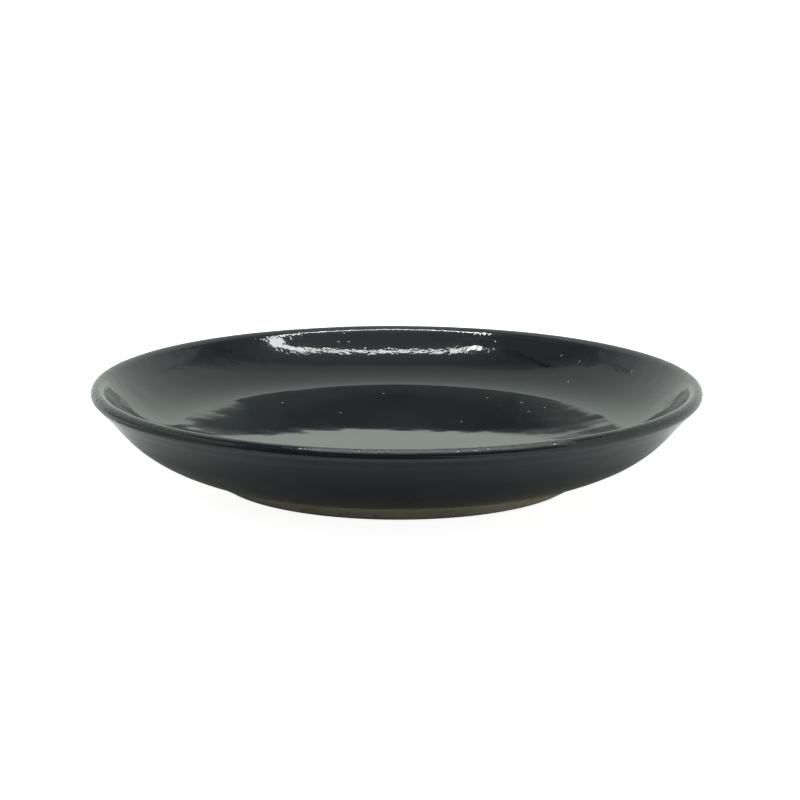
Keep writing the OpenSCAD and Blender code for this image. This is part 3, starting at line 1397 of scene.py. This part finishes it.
@dataclass
class Studio:
    """Plain pale studio: a white sweep behind, a dark room in front, a strip lamp overhead.

    The rings of glow round the dish are given as two distances and the glow at both.
    """

    backdrop_y: float = 1.0
    front_y: float = -1.9
    ceiling_z: float = 2.45
    wall_x: float = 2.2
    floor_half: float = 3.0
    floor_colour: Colour = (0.80, 0.80, 0.80, 1.0)
    floor_glow: float = 0.90
    mirrored_glow: tuple[float, ...] = (0.08, 0.4, 0.0, 0.2)
    ring_glow: tuple[float, ...] = (0.041, 0.053, 0.0, 0.155)
    ring_end: tuple[float, ...] = (0.054, 0.062, 1.0, 0.0)
    mirrored_tint: Colour = (0.95, 1.0, 0.985, 1.0)
    ambient: float = 0.30
    eye: Triple = (0.0, -0.487731, 0.118084)
    ahead: Triple = (0.001068, 0.977524, -0.210823)
    over: Triple = (-0.002581, 0.210826, 0.977520)
    lens: float = 136.79
    strip_z: float = 1.0

    def build(self) -> None:
        """Builds the floor, the cards, the lights, the world and the camera."""
        self.floor()
        for thing in (*self.room(), *self.screens(), *self.strip_lamp(), *self.fills()):
            thing.build()
        self.world()
        self.camera()
        bpy.context.scene.view_settings.view_transform = "Standard"

    def strip_lamp(self) -> list[Softbox]:
        """The overhead strip lamp: a straight middle and two ends bent towards the front."""
        parts = (
            ("strip_middle", 0.15, -0.075, (0.56, 0.08), 16.0, 0.0),
            ("strip_left", -0.23, -0.108, (0.21, 0.08), 16.0, 18.0),
            ("strip_end", -0.355, -0.148, (0.10, 0.10), 26.0, 18.0),
            ("strip_right", 0.56, -0.112, (0.28, 0.08), 16.0, -15.0),
        )
        return [
            Softbox(name, (x, y, self.strip_z), size, radiance, (x, y, 0.0), spin_deg=spin)
            for name, x, y, size, radiance, spin in parts
        ]

    @staticmethod
    def fills() -> list[Softbox]:
        """Lights that the glaze doesn't mirror: high ones for the well, low ones for the wall."""
        boxes = (
            ("left_fill", (-1.0, -0.1, 0.75), (0.6, 0.6), 2.3),
            ("right_fill", (1.0, -0.1, 0.75), (0.6, 0.6), 1.25),
            ("front_fill", (0, -1.1, 1.0), (0.8, 0.6), 1.0),
            ("low_fill", (0, -1.0, 0.05), (0.6, 0.08), 2.4),
            ("low_right", (0.90, -0.43, 0.05), (0.5, 0.08), 19.0),
            ("low_left", (-0.82, -0.57, 0.05), (0.5, 0.08), 6.5),
            ("low_back", (0, 0.95, 0.05), (1.2, 0.08), 6.0),
        )
        return [Softbox(*box, mirrored=False) for box in boxes]

    def room(self) -> tuple[Card, ...]:
        """The studio's walls: a white backdrop, a ceiling lit at its middle, the rest dark."""
        deep, middle = (self.backdrop_y - self.front_y) / 2, (self.backdrop_y + self.front_y) / 2
        half, side, top = self.ceiling_z / 2, self.wall_x, self.ceiling_z
        wide, tall, long = (side, 0, 0), (0, 0, half), (0, deep, 0)
        white = (
            ("Z", 0.3, 1.6, 1.06, 0.95), ("Z", 1.6, 2.45, 1.0, 0.82),
            ("X", -2.2, -1.2, 0.35, 1.0), ("X", 1.0, 1.9, 1.0, 0.45),
        )
        lit = (
            ("X", -1.2, -0.1, 0.5, 1.0), ("X", 1.1, 1.8, 1.0, 0.6),
            ("Y", 0.2, 0.5, 1.0, 0.75), ("Y", 0.5, 0.85, 1.0, 1.85),
        )
        left, right = (("Y", 0.3, 0.9, 1.0, 1.4),), (("Y", 0.3, 0.9, 1.0, 1.9),)
        return (
            Card("backdrop", (0, self.backdrop_y, half), wide, tall, 0.83, white, tint=COOL_WHITE),
            Card("ceiling", (0, middle, top), wide, long, 0.46, lit),
            Card("dark_front", (0, self.front_y, half), wide, tall, 0.04),
            Card("left_wall", (-side, middle, half), long, tall, 0.17, left),
            Card("right_wall", (side, middle, half), long, tall, 0.13, right),
            Card("ceiling_beam", (-1.315, 0.35, top - 0.01), (0.065, 0, 0), (0, 0.6, 0), 0.0),
        )

    @staticmethod
    def screens() -> tuple[Card, ...]:
        """Low white screens at both sides, and flags on the table before the dish that only
        reflections see: painted reflections, dark in front and dim at the left.
        """
        x, y, z, deep, tall = 0.95, 0.22, 0.46, (0, 0.72, 0), (0, 0, 0.46)
        left = (("Z", 0.1, 0.5, 0.55, 1.0), ("Z", 0.7, 0.95, 1.0, 0.5))
        right = (("Z", 0.78, 0.92, 1.0, 0.6),)
        thick = 0.0006
        return (
            Card("left_screen", (-x, y, z), deep, tall, 0.80, left, tint=COOL_WHITE),
            Card("right_screen", (x, y, z), deep, tall, 0.82, right, tint=COOL_WHITE),
            # Painted reflections: sheets that only mirrored rays see, dark before the dish and dim at
            # its left.
            Card("front_reflection_flag", (-0.185, -0.26, thick), (0.215, 0, 0), (0, 0.19, 0), 0.01, flag=True),
            Card("left_reflection_flag", (-0.28, -0.035, thick), (0.22, 0, 0), (0, 0.035, 0), 0.43, flag=True),
        )

    def floor(self) -> None:
        """Makes the pale floor, which reads white to the camera and keeps the dish's shadow.

        Mirrored and refracted rays see a lesser glow, which fades towards the dish, so that the
        floor's own shadow shows in the glaze. They also see a ring of painted light under the edge of
        the lip.
        """
        made, graph = new_material("pale floor")
        path = graph.add("ShaderNodeLightPath").outputs
        inputs = {0: graph.place()}
        far = graph.add("ShaderNodeVectorMath", inputs, operation="LENGTH").outputs["Value"]
        mirrored = graph.maths("ADD", path["Is Glossy Ray"], path["Is Transmission Ray"])
        # Painted light: a ring of glow under the edge of the lip, seen only in reflections.
        ring = graph.between(far, *self.ring_glow)
        faint = graph.between(far, *self.mirrored_glow)
        faint = graph.plus(faint, ring, graph.between(far, *self.ring_end))
        glow = graph.maths("MULTIPLY", path["Is Camera Ray"], self.floor_glow)
        graph.surface("ShaderNodeBsdfPrincipled", {
            "Base Color": self.floor_colour,
            "Roughness": 0.9,
            "Specular IOR Level": 0.1,
            "Emission Color": graph.layered(self.mirrored_tint, (path["Is Camera Ray"], WHITE)),
            "Emission Strength": graph.plus(glow, mirrored, faint),
        })
        half = self.floor_half
        corners = [(-half, -half, 0), (half, -half, 0), (half, half, 0), (-half, half, 0)]
        floor = sheet("floor", corners, made)

    def world(self) -> None:
        """Makes the world: white to camera, glossy and transmission rays, dimmer to the others."""
        world = bpy.data.worlds.new("studio")
        bpy.context.scene.world = world
        world.use_nodes = True
        graph = Graph(world.node_tree)
        path = graph.add("ShaderNodeLightPath").outputs
        seen = graph.maths("ADD", path["Is Camera Ray"], path["Is Glossy Ray"])
        seen = graph.maths("MINIMUM", graph.maths("ADD", seen, path["Is Transmission Ray"]), 1.0)
        strength = graph.between(seen, 0.0, 1.0, self.ambient, 1.0)
        back = graph.add("ShaderNodeBackground", {"Color": WHITE, "Strength": strength})
        graph.add("ShaderNodeOutputWorld", {"Surface": back.outputs[0]})

    def camera(self) -> None:
        """Makes the camera at the photograph's place, from its eye and the ways ahead and up."""
        data = bpy.data.cameras.new("camera")
        data.sensor_width = 36.0
        data.lens = self.lens
        data.clip_start, data.clip_end = 0.01, 50.0
        ahead = Vector(self.ahead).normalized()
        right = ahead.cross(Vector(self.over)).normalized()
        turn = Matrix((right, right.cross(ahead), -ahead)).transposed().to_4x4()
        made = linked("camera", data)
        made.matrix_world = Matrix.Translation(Vector(self.eye)) @ turn
        bpy.context.scene.camera = made


def main() -> None:
    """Builds the studio and the dish, and reports each piece."""
    logging.basicConfig(level=logging.INFO, format="%(name)s: %(message)s")
    Studio().build()
    section = Section()
    low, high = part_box(Node.INSIDE.value)
    unit = (high.x - low.x) / (2.0 * section.rim_r)
    dish = Dish(section, unit, GlazeCoat(section), SharedEffects())
    pieces = dish.build()
    LOG.info("%d pieces", len(pieces))


if __name__ == "__main__":
    main()
